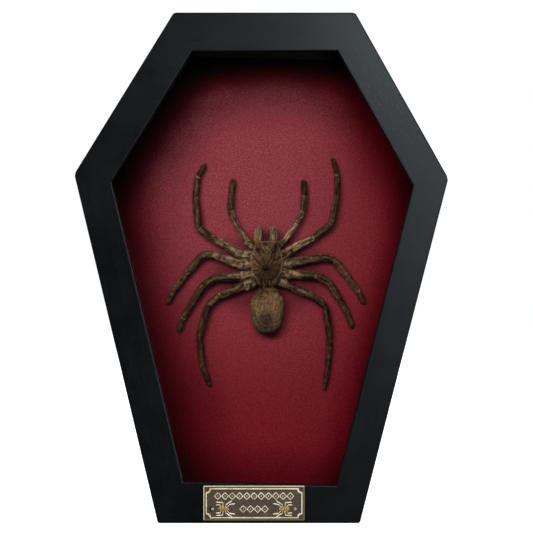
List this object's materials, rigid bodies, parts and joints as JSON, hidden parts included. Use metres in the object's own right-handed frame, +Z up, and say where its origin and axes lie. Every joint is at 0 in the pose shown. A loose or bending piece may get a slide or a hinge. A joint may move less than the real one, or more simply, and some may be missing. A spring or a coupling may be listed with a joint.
{
  "type": "framed tarantula specimen",
  "caption": "Coffin-shaped black wooden shadow box with a large dry tarantula, legs spread, on a crimson board behind glass, and a small brass plate on the bottom rail.",
  "frame": {"origin": "middle of the bounding box at the underside of the bottom rail", "axes": "+Z up towards the head end, +X to the right as seen from the front, the glass faces -Y and the hanger is at +Y"},
  "size_m": [0.2198, 0.041, 0.3],
  "materials": {
    "black_paint": "satin black paint on wood",
    "clear_glass": "clear picture glass",
    "crimson_leatherette": "fine pebbled leatherette",
    "hardboard": "dark hardboard",
    "zinc_steel": "zinc plated",
    "spider_skin": "dry, downy brown skin with hairs",
    "antique_brass": "antiqued, raised parts rubbed bright"
  },
  "bodies": {
    "root": {"top_rail": "black_paint", "left_shoulder_rail": "black_paint", "right_shoulder_rail": "black_paint", "left_side_rail": "black_paint", "right_side_rail": "black_paint", "bottom_rail": "black_paint", "glass_pane": "clear_glass", "backing_board": "crimson_leatherette", "back_panel": "hardboard", "sawtooth_hanger": "zinc_steel", "hanger_nail_left": "zinc_steel", "hanger_nail_right": "zinc_steel", "tarantula": "spider_skin", "name_plate": "antique_brass", "plate_pin_left": "antique_brass", "plate_pin_right": "antique_brass"}
  },
  "joints": []
}
